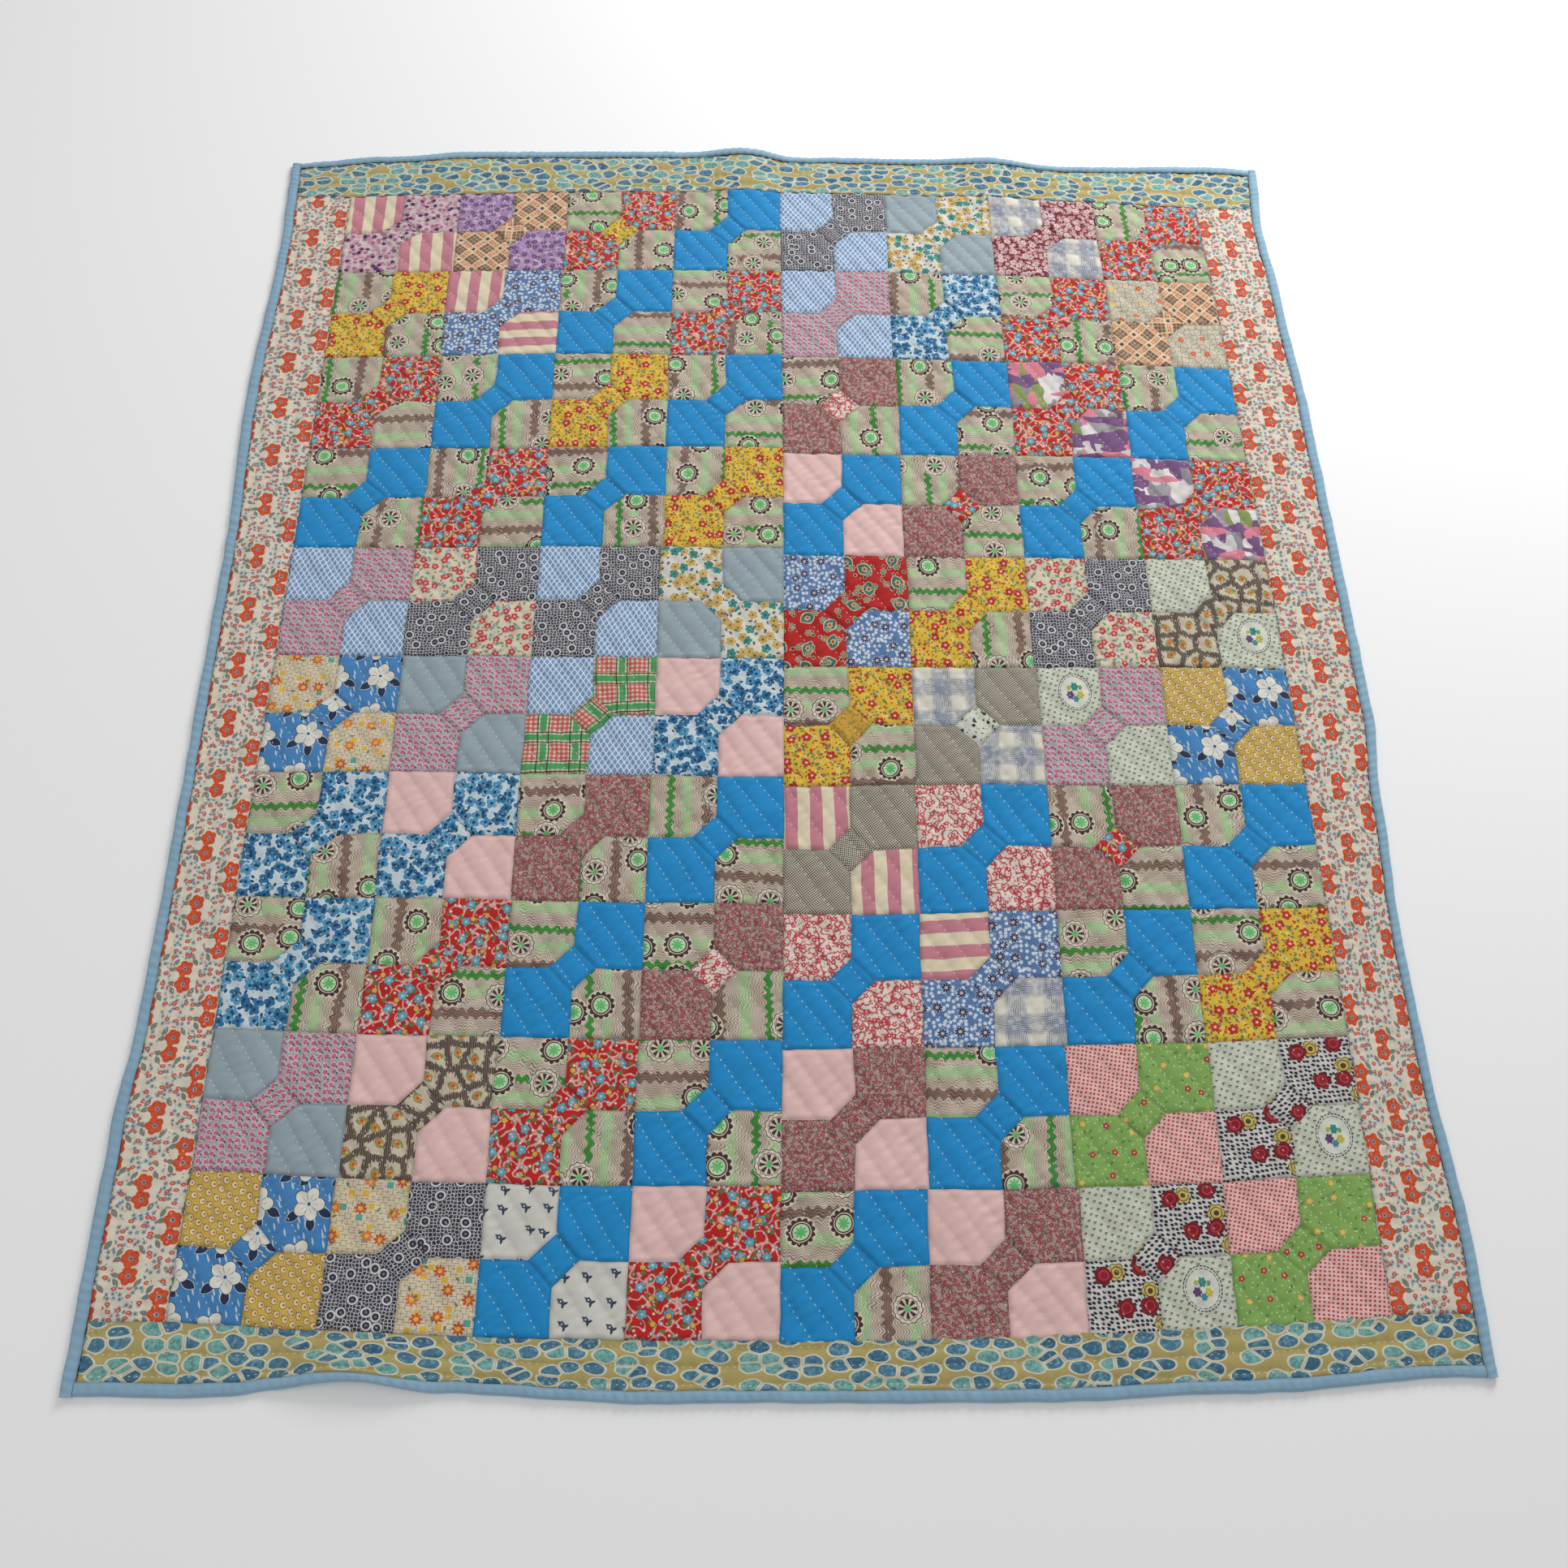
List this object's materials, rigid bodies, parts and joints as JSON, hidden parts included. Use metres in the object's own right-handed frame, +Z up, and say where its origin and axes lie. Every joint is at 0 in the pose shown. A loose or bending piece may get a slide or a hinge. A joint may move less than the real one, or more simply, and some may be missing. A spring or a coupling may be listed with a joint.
{
  "type": "patchwork quilt",
  "caption": "Hand-pieced patchwork bed quilt of bow-tie blocks in mixed printed cottons, with print borders and a narrow blue binding, laid flat.",
  "frame": {"origin": "on the floor under the middle of the quilt's overall box", "axes": "+Z up out of the quilt's face, +Y along its length towards the head end, +X to the right as seen from the foot end"},
  "size_m": [1.772, 2.124, 0.0172],
  "materials": {
    "pieced_cotton": "printed and plain cotton patches, hand quilted, softly puckered",
    "poppy_cotton": "cream cotton printed with small orange-red flowers, hand quilted",
    "stone_cotton": "cotton printed with dusty blue and teal pebbles on olive gold, hand quilted",
    "binding_cotton": "plain light blue cotton, folded over the edge and softly rippled"
  },
  "bodies": {
    "root": {"patchwork_field": "pieced_cotton", "border_left": "poppy_cotton", "border_right": "poppy_cotton", "border_head": "stone_cotton", "border_foot": "stone_cotton", "binding_left": "binding_cotton", "binding_right": "binding_cotton", "binding_head": "binding_cotton", "binding_foot": "binding_cotton"}
  },
  "joints": []
}
